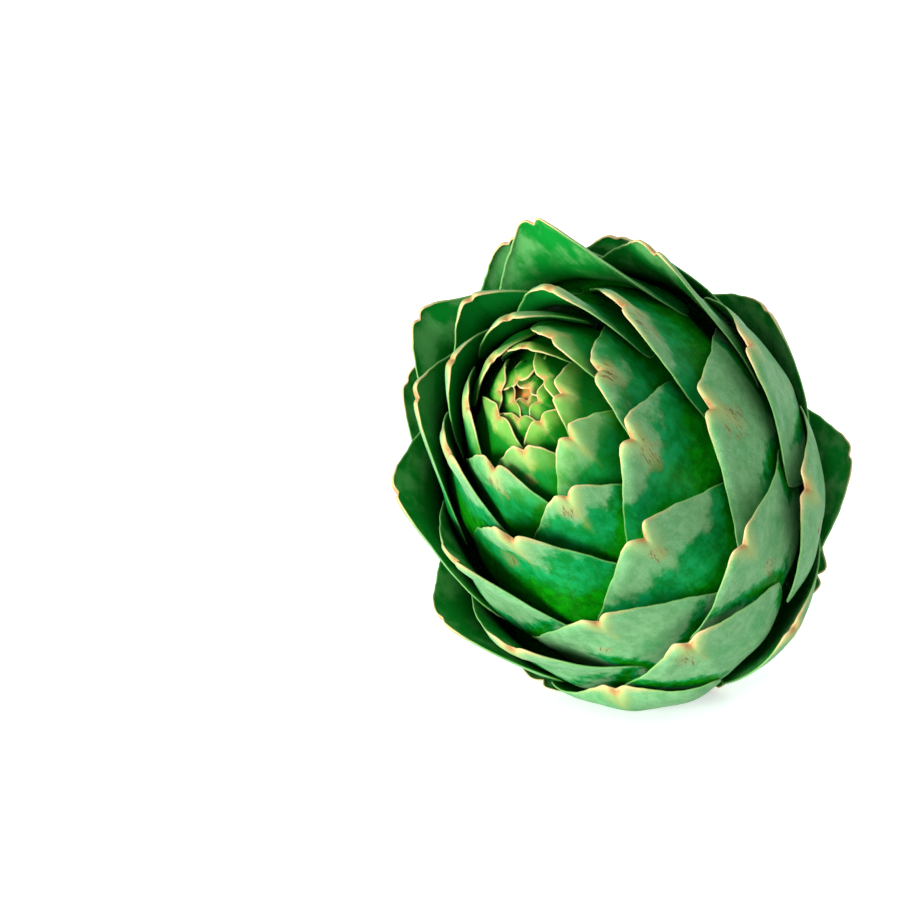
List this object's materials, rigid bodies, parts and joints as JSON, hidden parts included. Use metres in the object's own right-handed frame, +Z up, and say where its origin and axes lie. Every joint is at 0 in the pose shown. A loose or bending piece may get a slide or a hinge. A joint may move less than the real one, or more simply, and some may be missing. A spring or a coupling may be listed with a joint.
{
  "type": "artichoke",
  "caption": "Globe artichoke head of overlapping notched bracts in a spiral, on a short cut stem, lying on its side with the bud turned up.",
  "frame": {"origin": "on the surface, under the middle of the bounding box", "axes": "+Z up from the surface, -Y towards the viewer that the bud is turned to, +X to that viewer's right"},
  "size_m": [0.1166, 0.1292, 0.1232],
  "materials": {
    "bracts": "waxy green bracts with a grey-green bloom and pale tan margins",
    "stem": "ribbed pale green stalk with a cut, slightly browned end"
  },
  "bodies": {
    "root": {"head": "bracts", "stem": "stem"}
  },
  "joints": []
}
